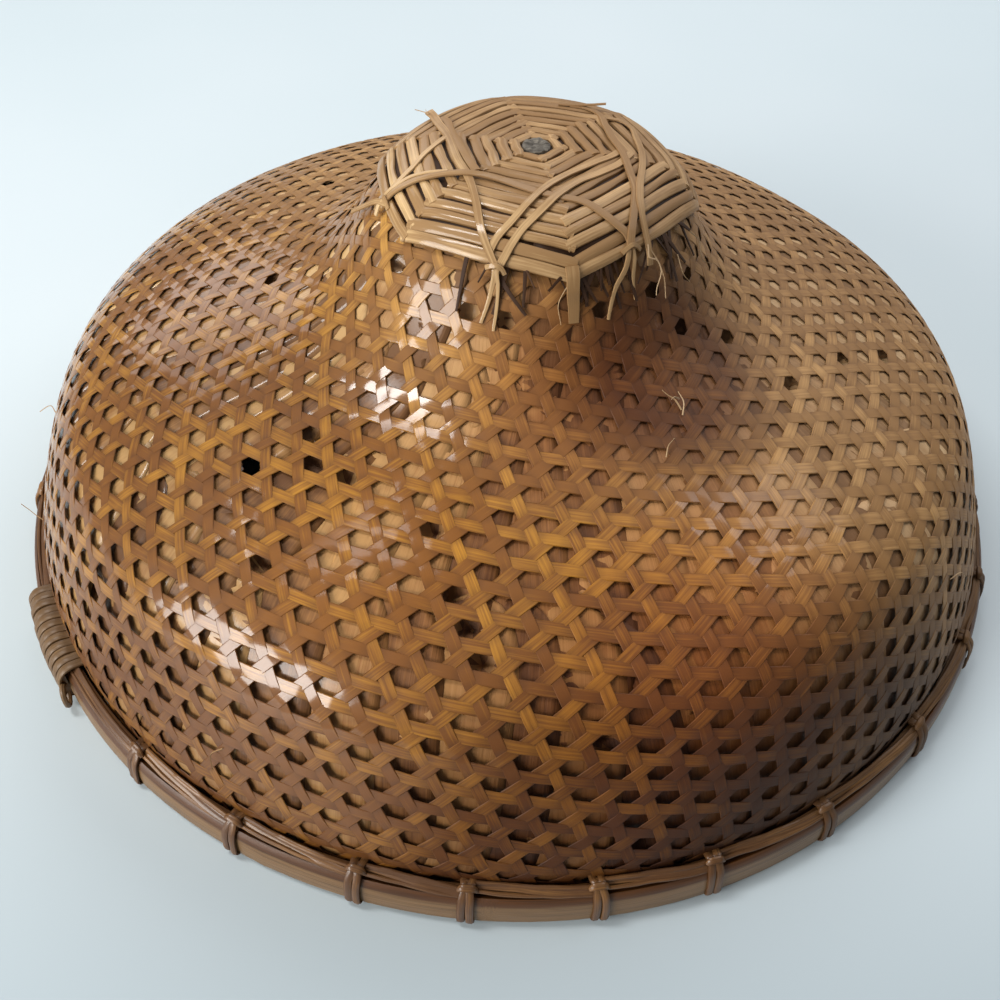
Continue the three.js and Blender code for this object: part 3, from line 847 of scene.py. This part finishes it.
# Strands over the cap: width at both ends, then azimuth, arc and lift of places along it
OVER_STRANDS = [
    ((2.6, 2.4), [(-69, 65.7, 0.6), (-70.1, 60.6, 1.3), (-71.1, 54.2, 0.8), (-74.9, 46.4, 0.65),
     (-83.1, 40.6, 0.65), (-94.3, 35, 0.65), (-101, 33, 0.6)]),
    ((3.6, 2.6), [(-127, 51, 3.0), (-125.3, 48.9, 2.0), (-113.5, 39.3, 0.8), (-99.6, 32.9, 0.7),
     (-71.7, 29.9, 0.7), (-46.4, 32.5, 0.7), (-30.3, 40.3, 0.7), (-20.8, 50.6, 0.9), (-14.8, 57.4, 1.2),
     (-11.8, 61.4, 1.6)]),
    ((2.1, 1.2), [(-11.9, 60.5, 1.4), (-11.9, 66.2, 1.2), (-12.4, 72.9, 0.7), (-13.4, 80, 0.3)]),
    ((3.2, 3.4), [(-122, 42, 0.9), (-119.9, 39.2, 0.7), (-107.2, 33.1, 0.65), (-87.1, 27.8, 0.65),
     (-64.4, 26.6, 0.65), (-49.3, 27.9, 0.65)]),
    ((1.7, 1.7), [(-69.3, 60.7, 1.4), (-70.6, 56.3, 1.2), (-70.3, 52.6, 0.8), (-69.5, 48.1, 0.65),
     (-67, 43, 0.65), (-60, 36, 0.7)]),
    ((2.8, 3.1), [(-68.2, 61.8, 0.8), (-68.2, 60.6, 1.2), (-68.2, 56.1, 1.1), (-66.9, 51.5, 1.0),
     (-65.1, 47.3, 1.0), (-57.2, 36.7, 1.2), (-47.4, 30.7, 1.4), (-34.2, 27.3, 1.2), (-10.4, 28, 0.8),
     (2.7, 30.5, 0.7), (13.7, 33.2, 0.7), (26.1, 37.7, 0.7), (31.3, 43.4, 0.7), (34.6, 49.3, 0.8),
     (37.3, 54.2, 1.0), (37.4, 58, 1.0)]),
    ((2.7, 2.9), [(-15.6, 57.5, 0.8), (-14.8, 53.2, 0.8), (-10.6, 45.5, 0.8), (-4.8, 37.3, 1.4),
     (8.2, 27.3, 1.4), (33.1, 21.5, 0.8), (61.6, 22.6, 0.7), (82.7, 28.5, 0.7), (90, 31, 0.6)]),
    ((2.9, 3.1), [(-12, 63, 0.8), (-10.6, 59.6, 1.1), (-8.3, 53.3, 0.9), (-5.1, 47.5, 0.8),
     (1.9, 40.1, 1.1), (14, 32.5, 1.5), (32.9, 27.1, 0.9), (53.4, 27.7, 0.7), (73.6, 31.4, 0.7),
     (86, 34, 0.6)]),
    ((2.8, 3.0), [(158.8, 35.8, 0.6), (149.6, 37, 0.7), (140.3, 36, 0.7), (123.3, 30.7, 0.9),
     (102.9, 28.5, 1.3), (86.1, 30.5, 1.4), (66.7, 35.9, 1.0), (57.1, 41.3, 0.8), (49.1, 45.7, 0.9),
     (43, 50.2, 1.2), (38.8, 54.2, 1.6), (36, 58.6, 1.6)]),
    ((2.0, 1.1), [(36.6, 57, 1.0), (35, 60, 1.2), (32.4, 64.7, 1.1), (28.5, 69.4, 0.8), (26.6, 74, 0.5),
     (25, 80, 0.3)]),
    ((1.4, 0.9), [(37.6, 58, 1.0), (37, 62, 1.0), (35.4, 68, 0.7), (35, 76, 0.5)]),
    ((2.6, 2.8), [(132, 36, 0.6), (126, 39.4, 0.9), (121, 40.4, 0.9), (104.4, 38.2, 0.8), (89.1, 37.9, 0.8),
     (75.3, 38.9, 0.8), (60.2, 41.7, 1.5), (51.3, 46.7, 1.5), (47.3, 51.7, 1.0), (45.6, 56, 0.9),
     (44.6, 59.3, 1.0), (43.8, 63.9, 1.0), (43.4, 67, 0.6)]),
    ((2.6, 2.0), [(-66, 59.3, 1.2), (-71.8, 61.9, 1.4), (-77.2, 67.7, 2.2), (-82.4, 75, 3.4)]),
    ((1.7, 1.0), [(-10.4, 60, 1.2), (-11.2, 61.7, 1.5), (-10.2, 66.6, 1.2), (-9.6, 72.6, 0.8),
     (-9.4, 82, 0.4)]),
    ((5.0, 3.8), [(13.4, 60, 1.0), (13.6, 63.5, 1.5), (13.6, 67.7, 1.3), (14, 72.8, 0.6), (14.2, 79, 0.1)]),
    ((2.6, 2.2), [(166, 35, 0.6), (158, 36, 0.9), (148, 38.5, 1.8), (141, 41, 3.2)]),
    ((1.8, 1.5), [(-15.5, 61.6, 0.7), (-13.8, 61, 1.8), (-11.8, 60.6, 2.3), (-9.8, 61.4, 1.7),
     (-8.6, 63, 0.7)]),
    ((1.9, 1.6), [(32.6, 59.2, 0.7), (34.6, 58.2, 1.7), (36.8, 57.8, 2.2), (39, 58.8, 1.6),
     (40.6, 60.4, 0.7)]),
    ((1.9, 1.6), [(-64, 60, 0.6), (-66.6, 59, 1.6), (-69, 58.7, 2.0), (-71.4, 59.8, 1.5),
     (-73, 61.5, 0.6)]),
]
OVER_STRAND_THICKNESS = 0.55
FIBRE_THICKNESS = 0.3
FIBRE_TIP = 0.25
HEM_END_COUNT = 26
HEM_END_ROWS = 9
HEM_END_THICKNESS = 0.4
HEM_END_SPAN = (-24, 74)
HEM_END_ARC = 58
HEM_END_REACH = (8, 20)
# Frayed fibres of the cap and of the weave: width, then azimuth, arc and lift of places along each
FRAYED_FIBRES = [
    (0.8, [(44, 60, 1.4), (42, 64, 2.6), (44.5, 65.5, 3.0), (45.2, 70, 3.2), (42, 75, 3.0), (41, 77, 3.4)]),
    (0.6, [(44.5, 62, 1.2), (46, 67, 2.0), (46.5, 73, 2.4), (45, 80, 2.6)]),
    (0.5, [(-126, 50, 2.6), (-129, 54, 3.2), (-132, 57, 4.6)]),
    (0.5, [(-124, 49, 2.4), (-125, 52, 4.0), (-124, 54, 6.2)]),
    (0.6, [(70, 68, 1.0), (72, 74, 2.2), (70, 80, 1.8), (74, 86, 2.6)]),
    (0.5, [(58, 70, 0.6), (56, 76, 2.0), (59, 82, 1.4)]),
    (0.5, [(12, 66, 1.4), (9, 72, 2.0), (10, 79, 1.4)]),
    (0.6, [(-80, 72, 3.2), (-85, 76, 4.2), (-89, 79, 3.8)]),
]
WEAVE_FIBRES = [
    (0.9, [(36.5, 117, 0.2), (36, 113, 1.2), (34.5, 110, 2.0), (33.6, 108, 2.6)]),
    (0.8, [(37.5, 113, 0.2), (36.2, 112, 1.4), (34.8, 112.4, 2.2)]),
    (0.7, [(36, 119, 0.2), (37.4, 115, 1.6), (37, 111, 2.8)]),
    (0.5, [(-77, 224, 0.2), (-79, 227, 2.6), (-79.5, 233, 5.5)]),
    (0.4, [(-70, 262, 0.2), (-71.5, 263, 4.0), (-72, 260, 8.5)]),
    (0.5, [(-28, 250, 0.2), (-29, 254, 1.8), (-28.4, 259, 2.6)]),
    (0.5, [(58, 236, 0.2), (60, 238, 1.8), (61, 243, 2.4)]),
    (0.5, [(28, 131, 0.2), (29, 128, 1.4), (31, 126, 1.8)]),
]


def polar_curve(places, count):
    """Smooth path through places on the crown: azimuth, arc, lift and the length along it"""
    places = np.array(places, float)
    flat = on_plane(places[:, 0], places[:, 1])
    steps = length_to(flat)
    at = np.linspace(0, steps[-1], count)
    x, y = smooth_track(steps, flat[:, 0], at), smooth_track(steps, flat[:, 1], at)
    azimuth, arc = from_plane(np.stack([x, y], -1))
    return azimuth, arc, smooth_curve(steps, places[:, 2], at), at


def over_strands():
    strands = Strands()
    for (first_width, last_width), places in OVER_STRANDS:
        azimuth, arc, lift, at = polar_curve(places, 12 + 4 * len(places))
        path, facing = cap_face.place(azimuth, arc, lift + corner_rise(azimuth, arc) + wobble(at, 25, 0.06))
        width = np.interp(at, [at[0], at[-1]], [first_width, last_width]) + wobble(at, 30, 0.15)
        strands.add(path, facing, width, OVER_STRAND_THICKNESS)
    return strands


def frayed_fibres(surface, table):
    strands = Strands()
    for width, places in table:
        azimuth, arc, lift, at = polar_curve(places, 16)
        path, facing = surface.place(azimuth, arc, lift)
        width = np.interp(at, [at[0], at[-1]], [width, FIBRE_TIP])
        strands.add(path, facing, width, FIBRE_THICKNESS, section=FIBRE)
    return strands


def hem_ends():
    """Short dark ends of splits that stick out below the cap's front hem"""
    ends = Strands()
    for _ in range(HEM_END_COUNT):
        start = random.uniform(*HEM_END_SPAN)
        azimuth = start + np.linspace(0, random.normal(0, 7), HEM_END_ROWS)
        arc = HEM_END_ARC + np.linspace(0, random.uniform(*HEM_END_REACH), HEM_END_ROWS)
        lift = np.linspace(-0.7, random.uniform(0.3, 1.6), HEM_END_ROWS) + 0.6 * corner_rise(azimuth, arc)
        path, facing = cap_face.place(azimuth, arc, lift)
        width = np.linspace(1, 0.5, HEM_END_ROWS) * random.uniform(0.8, 2.4)
        ends.add(path, facing, width, HEM_END_THICKNESS)
    return ends


UNDERLAY_ARCS = np.linspace(3, 59, 20)
UNDERLAY_LIFT = -1.15
UNDERLAY_THICKNESS = 0.2


def cap_underlay():
    """A plain dark sheet between the cap's windings and the weave: painted shade in the gaps between the
    windings
    """
    arc, azimuth = np.meshgrid(UNDERLAY_ARCS, np.linspace(0, 360, 73), indexing="ij")
    place, _ = cap_face.place(azimuth, arc, UNDERLAY_LIFT + 0.7 * corner_rise(azimuth, arc))
    faces = sheet_faces(np.ones(arc.shape, bool), 0)
    places = np.stack([np.radians(azimuth) * 0.05, arc / 4], -1).reshape(-1, 2)
    values = {"tone": np.full(arc.size, 0.5)}
    piece = mesh_piece("cap_underlay", place.reshape(-1, 3), faces, places, values, painted_shade_and_dark_ends, 50)
    return thicken(piece, UNDERLAY_THICKNESS)


finish_piece(cap_windings().make("cap_windings", cap_cane), "crown_cap", "crown_cap")
finish_piece(over_strands().make("cap_over_strands", cap_cane), "crown_cap")
finish_piece(frayed_fibres(cap_face, FRAYED_FIBRES).make("cap_frayed_fibres", pale_fibre), "crown_cap")
finish_piece(frayed_fibres(weave_face, WEAVE_FIBRES).make("weave_frayed_fibres", pale_fibre), "woven_shell")
finish_piece(cap_underlay(), "crown_cap")
finish_piece(hem_ends().make("cap_hem_ends", painted_shade_and_dark_ends), "crown_cap")


# Crown plug

PLUG_RADIUS = 5.1
PLUG_BOTTOM = 168.9
PLUG_TOP = 171.0
# Rings of the plug's top, each inset from the one before: inset, rise
PLUG_RINGS = ((0.5, 0.4), (1.2, 0.1), (1.2, -0.45), (0.9, -0.1))
# Waves round the plug's top: height, count, phase
PLUG_WAVES = ((0.22, 5, 1), (0.16, 11, 0))


def crown_plug():
    nothing_selected()
    middle = weave_face.place(0.0, 0.0)[0]
    bpy.ops.mesh.primitive_cylinder_add(
        vertices=40, radius=PLUG_RADIUS * MM, depth=(PLUG_TOP - PLUG_BOTTOM) * MM,
        location=(middle[0], middle[1], (PLUG_TOP + PLUG_BOTTOM) / 2 * MM))
    piece = bpy.context.active_object
    piece.name = piece.data.name = "plug_end_grain"
    bpy.ops.object.transform_apply(location=True, rotation=True, scale=True)
    bpy.ops.object.mode_set(mode="EDIT")
    bpy.ops.mesh.select_all(action="DESELECT")
    bpy.ops.object.mode_set(mode="OBJECT")
    for face in piece.data.polygons:
        face.select = face.normal.z > 0.9
    bpy.ops.object.mode_set(mode="EDIT")
    bpy.ops.mesh.select_mode(type="FACE")
    for inset, rise in PLUG_RINGS:
        bpy.ops.mesh.inset(thickness=inset * MM)
        bpy.ops.transform.translate(value=(0, 0, rise * MM))
    bpy.ops.object.mode_set(mode="OBJECT")
    for vertex in piece.data.vertices:
        around = math.atan2(vertex.co.y - middle[1], vertex.co.x - middle[0])
        if vertex.co.z > (PLUG_BOTTOM + 1) * MM:
            waves = (height * math.sin(count * around + phase) for height, count, phase in PLUG_WAVES)
            vertex.co.z += MM * sum(waves)
    smooth_edges(piece, 40)
    piece.data.materials.append(plug_grain)
    return piece


finish_piece(crown_plug(), "crown_plug", "crown_plug")


# Rim: two hoops, the filler between hoop and weave, the splits that lie along the hoop's top

HOOP_STEPS = 240
HOOP_SWAY = 0.12
# Sections of the rim's bands: radius, height
OUTER_HOOP = [
    (211.1, 1.4), (214.6, 1.2), (215.4, 2.0), (215.4, 7), (214.7, 12), (213.9, 14.2), (212.9, 15),
    (211.1, 13.6),
]
INNER_HOOP = [(203.1, 1.4), (206, 1.3), (206.1, 14), (203.4, 14.2), (203, 12.8), (203, 3)]
FILLER_SPLIT = [(208.6, 7.2), (210.6, 7.1), (210.6, 15.6), (209.9, 16.3), (208.7, 16)]
BAMBOO_JOINTS = [-98, -22.5, 60, 140, 214]
JOINT_SPREAD = 0.7
JOINT_SWELL = 0.12
# Splits along the rim's top: radius at both ends, height, width
TOP_SPLITS = ((209.2, 212.3, 17.4, 3.0), (209.0, 210.8, 18.2, 1.9), (211.4, 212.9, 16.6, 1.6))
TOP_SPLIT_ROWS = 24
TOP_SPLIT_OVERLAP = 0.6
TOP_SPLIT_FALL = 1.3
TOP_SPLIT_THICKNESS = 0.9
WAY_STEP = 0.2
UP = np.array([0.0, 0.0, 1.0])

LASHING_AZIMUTHS = [
    -79.8, -39, -26, -13.2, -2.8, 9.2, 20.5, 33.2, 48.2, 61.8, 71.8,
    84, 96.3, 108.6, 120.9, 133.2, 145.5, 157.8, 170.1, 182.4, 194.7, 207, 219.3, 231.6, 243.9, 256.2, 268.2,
]
# Way of the cane round the hoops, at the middle of its thickness: radius, height
LASHING_LOOP = [
    (209, 1.15), (214.4, 1.05), (216.1, 2.2), (216.2, 7), (215.5, 12), (214.6, 14.8), (213.2, 16.4),
    (211.6, 17.8), (209.9, 18.6), (208.1, 18.3), (205.8, 18), (203.4, 16.4), (202.1, 14), (202, 8),
    (202.1, 2.3), (203.4, 1.15),
]
SPLICE_LOOP = [
    (209, 1.3), (215.4, 1.25), (217.9, 2.4), (218.7, 5), (218.8, 10), (217.7, 15.4), (215, 18.4),
    (211.4, 19.2), (208.4, 18.6), (205.6, 18.2), (203, 16), (201.8, 13), (201.8, 3), (203.4, 1.3),
]


def rim_frame(azimuth):
    """Outward and forward directions along the rim"""
    angle = np.radians(azimuth)
    sine, cosine, level = np.sin(angle), np.cos(angle), 0 * angle
    return np.stack([sine, -cosine, level], -1), np.stack([cosine, sine, level], -1)


def at_rim(azimuth, place, outward, sideways=0.0):
    """Points and directions in a plane across the rim, moved along it by sideways"""
    side, forward = rim_frame(azimuth)
    shift = np.broadcast_to(sideways, len(place))[:, None]
    points = side * place[:, :1] + UP * place[:, 1:] + forward * shift
    return points * MM, side * outward[:, :1] + UP * outward[:, 1:]


def rim_band(name, section, material, joints=()):
    """A closed band round the rim, a little thicker at the bamboo's joints"""
    azimuth = np.linspace(0, 360, HOOP_STEPS, endpoint=False)
    middle = np.mean(section, 0)
    rings = (bell(turn_apart(azimuth, joint), JOINT_SPREAD) for joint in joints)
    swell = 1 + JOINT_SWELL * sum(rings, 0 * azimuth)
    radius = middle[0] + HOOP_SWAY * np.sin(np.radians(5 * azimuth))
    place = np.stack([radius, np.full(HOOP_STEPS, middle[1])], -1)
    path, facing = at_rim(azimuth, place, np.tile([0.0, 1.0], (HOOP_STEPS, 1)))
    band = Strands()
    band.add(path, facing, swell, 1, section=np.array(section) - middle, closed=True, tone=0.5)
    return band.make(name, material)


def rim_top_splits():
    """Thin splits from lashing to lashing, each from the weave's side over to the hoop's"""
    splits = Strands()
    share = np.linspace(0, 1, TOP_SPLIT_ROWS)
    ease = share * share * (3 - 2 * share)
    arch = np.sin(math.pi * share)
    following = LASHING_AZIMUTHS[1:] + [LASHING_AZIMUTHS[0] + 360]
    for start, stop in zip(LASHING_AZIMUTHS, following):
        azimuth = start - TOP_SPLIT_OVERLAP + (stop - start + 2 * TOP_SPLIT_OVERLAP) * share
        tone = random.random()
        for first, last, low, width in TOP_SPLITS:
            radius = first + (last - first) * ease + 0.25 * wobble(share, 0.7, 1.0)
            height = low - TOP_SPLIT_FALL * ease + arch * random.uniform(0.1, 0.7) + wobble(share, 0.8, 0.25)
            outward = np.tile([0.5, 0.87], (TOP_SPLIT_ROWS, 1))
            path, facing = at_rim(azimuth, np.stack([radius, height], -1), outward)
            wide = width * (0.8 + 0.2 * arch) + wobble(share, 0.5, 0.15)
            splits.add(path, facing, wide, TOP_SPLIT_THICKNESS,
                       section=ROUND_SPLIT, tone=tone * 0.7 + random.uniform(0, 0.3))
    return splits


def loop_places(table, shares):
    """Radius and height at shares of a closed way, and the outward direction there"""
    table = np.array(table, float)
    closed = np.vstack([table[-2:], table, table[:3]])
    steps = length_to(closed)
    start, length = steps[2], steps[2 + len(table)] - steps[2]
    at = start + (shares % 1) * length
    place, ahead = (np.stack([smooth_track(steps, column, where) for column in closed.T], -1)
                    for where in (at, at + WAY_STEP))
    way = unit(ahead - place)
    return place, np.stack([way[:, 1], -way[:, 0]], -1)


LASHING_ROWS = 60
LASHING_WIDTH = 2.95
LASHING_THICKNESS = 0.95
# The two strands lie this far from the lashing's middle, and closer at the waist below the third
LASHING_APART = 1.5
WAIST_RADIUS = 211.5
WAIST_SPREAD = 1.9
WAIST_SHARE = 0.42
KNOT_ROWS = 15
KNOT_RADIUS = 211.7
KNOT_HEIGHT = 19.5
KNOT_REACH = 3.3
KNOT_WIDTH = 2.7


def lashing(azimuth):
    """Two strands side by side round the hoops, drawn together above them by a third"""
    strands = Strands()
    shares = np.linspace(0, 1, LASHING_ROWS, endpoint=False)
    place, outward = loop_places(LASHING_LOOP, shares)
    waist = bell(place[:, 0] - WAIST_RADIUS, WAIST_SPREAD) * (place[:, 1] > 10)
    slant = random.uniform(-0.8, 0.8)
    tone = random.uniform(0.1, 0.9)
    around = np.full(LASHING_ROWS, float(azimuth))
    for side in (-1, 1):
        sway = (side * LASHING_APART * (1 - WAIST_SHARE * waist) + slant * np.sin(2 * math.pi * shares)
                + 0.12 * side * np.cos(4 * math.pi * shares + random.uniform(0, 6)))
        raised = place + outward * (0.12 * side + 0.35 * waist)[:, None]
        path, facing = at_rim(around, raised, outward, sway)
        strands.add(path, facing, LASHING_WIDTH + random.uniform(-0.25, 0.15), LASHING_THICKNESS,
                    section=ROUND_SPLIT, closed=True, tone=tone + side * 0.08)
    share = np.linspace(-1, 1, KNOT_ROWS)
    lean = random.uniform(-0.5, 0.5)
    radius, height = KNOT_RADIUS + 0.5 * share * lean, KNOT_HEIGHT - 1.9 * share ** 4 - 0.4 * share
    outward = np.stack([0.35 + 0 * share, 0.94 - 0.3 * np.abs(share)], -1)
    around = np.full(KNOT_ROWS, float(azimuth))
    path, facing = at_rim(around, np.stack([radius, height], -1), outward, share * KNOT_REACH)
    facing = facing + rim_frame(around)[1] * (share ** 3)[:, None]
    strands.add(path, facing, KNOT_WIDTH * (1 - 0.45 * share ** 4), LASHING_THICKNESS,
                section=ROUND_SPLIT, tone=tone * 0.6 + 0.3)
    return strands


for node, *band in (
    ("rim_hoop_outer", "outer_hoop_bamboo", OUTER_HOOP, hoop_bamboo, BAMBOO_JOINTS),
    ("rim_hoop_inner", "inner_hoop_bamboo", INNER_HOOP, inner_bamboo),
    ("rim_filler_split", "filler_split_cane", FILLER_SPLIT, rim_cane),
):
    finish_piece(rim_band(*band), node, node)
finish_piece(rim_top_splits().make("rim_top_splits", rim_cane), "rim_filler_split")
for index, azimuth in enumerate(LASHING_AZIMUTHS):
    node = f"rim_lashing_{index + 1:02d}"
    finish_piece(lashing(azimuth).make(f"{node}_cane", rim_cane), "rim_lashing", node)


# Splice: cane wound densely over the hoop's joint, with a loose eye at its end

SPLICE_SPAN = (-64.2, -51.6)
SPLICE_WRAPS = 12
SPLICE_WRAP_ROWS = 52
SPLICE_WRAP_SIZE = (3.7, 1.1)
# The core below the wraps: radius and height, then width and thickness
SPLICE_CORE = (216.5, 8.6)
SPLICE_CORE_SIZE = (13.5, 2.4)
SPLICE_CORE_ROWS = 20
EYE_AZIMUTH, EYE_RADIUS, EYE_HEIGHT, EYE_TURN = -51.4, 218.1, 7.6, 68
EYE_HALF_WIDTH, EYE_HALF_HEIGHT = 3.8, 5
EYE_STRAND_SIZE = (2.3, 2.0)


def splice():
    turns = Strands()
    azimuth = np.linspace(SPLICE_SPAN[0] + 0.2, SPLICE_SPAN[1] - 0.4, SPLICE_CORE_ROWS)
    place, outward = (np.tile(row, (SPLICE_CORE_ROWS, 1)) for row in (SPLICE_CORE, (1.0, 0.0)))
    path, facing = at_rim(azimuth, place, outward)
    turns.add(path, facing, *SPLICE_CORE_SIZE, section=ROUND_SPLIT, tone=0.3)
    steps = np.linspace(0, SPLICE_WRAPS, SPLICE_WRAPS * SPLICE_WRAP_ROWS)
    place, outward = loop_places(SPLICE_LOOP, steps)
    azimuth = np.interp(steps, [0, SPLICE_WRAPS], SPLICE_SPAN) + wobble(steps, 2.7, 0.12)
    proud = 0.5 * np.sin(math.pi * steps / SPLICE_WRAPS) + wobble(steps, 1.9, 0.3)
    path, facing = at_rim(azimuth, place + outward * (proud - 0.4)[:, None] * (place[:, :1] > 210), outward)
    turns.add(path, facing, *SPLICE_WRAP_SIZE, section=ROUND_SPLIT, tone=0.35)
    around = np.linspace(0, 2 * math.pi, 30, endpoint=False)
    flat = rim_frame(EYE_AZIMUTH + EYE_TURN)[0]
    centre, _ = at_rim(np.array([EYE_AZIMUTH]), np.array([[EYE_RADIUS, EYE_HEIGHT]]), np.array([[1.0, 0.0]]))
    tall = np.sin(around) * EYE_HALF_HEIGHT + 0.5 * np.sin(2 * around)
    ring = flat * np.cos(around)[:, None] * EYE_HALF_WIDTH + UP * tall[:, None]
    outward = flat * np.cos(around)[:, None] + UP * np.sin(around)[:, None]
    turns.add(centre + ring * MM, outward, *EYE_STRAND_SIZE, section=ROUND_CANE, closed=True, tone=0.25)
    return turns


finish_piece(splice().make("splice_turns", splice_cane), "rim_splice", "rim_splice")


# Table, light and camera

CAMERA_PLACE = (-0.0044, -0.3516, 0.3647)
CAMERA_RIGHT = (0.99929, 0.02781, 0.02544)
CAMERA_UP = (-0.03769, 0.73738, 0.67442)
CAMERA_LENS = 37.8
SENSOR_WIDTH = 36
TABLE_SIZE = 12
ROOM_TINT = (0.95, 0.97, 1.0, 1)
ROOM_STRENGTH = 0.19
# Soft lights: place, aim, size, power, tint
LIGHTS = {
    "side_window": ((-1.14, -0.85, 0.56), (0, 0, 0.08), (0.9, 0.75), 20.8, (1.0, 0.98, 0.94)),
    "upper_window": ((-0.7, 0.02, 1.52), (0, 0, 0.08), (0.26, 0.6), 9.8, (1.0, 0.99, 0.97)),
    "pale_wall": ((0.8, 1.0, 1.35), (0.05, 0, 0.05), (2.0, 1.2), 20.2, (0.98, 0.98, 1.0)),
    "back_wall": ((-0.9, 1.5, 0.9), (-0.3, 0.7, 0), (1.4, 0.8), 6, (0.97, 0.98, 1.0)),
}


def ground():
    nothing_selected()
    bpy.ops.mesh.primitive_plane_add(size=TABLE_SIZE, location=(0, 0, 0))
    piece = bpy.context.active_object
    piece.name = piece.data.name = "pale_table"
    piece.data.materials.append(table)


def pose_matrix(right, up, back, place):
    rows = [[float(right[i]), float(up[i]), float(back[i]), float(place[i])] for i in range(3)]
    return Matrix(rows + [[0, 0, 0, 1]])


def area_light(name, place, aim, size, power, tint):
    lamp = bpy.data.lights.new(name, "AREA")
    lamp.shape = "RECTANGLE"
    lamp.size, lamp.size_y = size
    lamp.energy = power
    lamp.color = tint
    holder = add_object(name, lamp)
    back = np.array(place, float) - np.array(aim, float)
    back /= np.linalg.norm(back)
    right = np.cross(UP, back)
    right /= np.linalg.norm(right)
    holder.matrix_world = pose_matrix(right, np.cross(back, right), back, place)


def room_light():
    world = bpy.data.worlds.new("pale_room")
    bpy.context.scene.world = world
    world.use_nodes = True
    sky = world.node_tree.nodes["Background"]
    sky.inputs[0].default_value = ROOM_TINT
    sky.inputs[1].default_value = ROOM_STRENGTH


def camera():
    lens = bpy.data.cameras.new("photo_camera")
    lens.lens = CAMERA_LENS
    lens.sensor_width = SENSOR_WIDTH
    lens.clip_start = 0.01
    holder = add_object("photo_camera", lens)
    back = np.cross(CAMERA_RIGHT, CAMERA_UP)
    holder.matrix_world = pose_matrix(CAMERA_RIGHT, CAMERA_UP, back, CAMERA_PLACE)
    bpy.context.scene.camera = holder


ground()
room_light()
for name, settings in LIGHTS.items():
    area_light(name, *settings)
camera()
bpy.context.scene.view_settings.view_transform = "Standard"
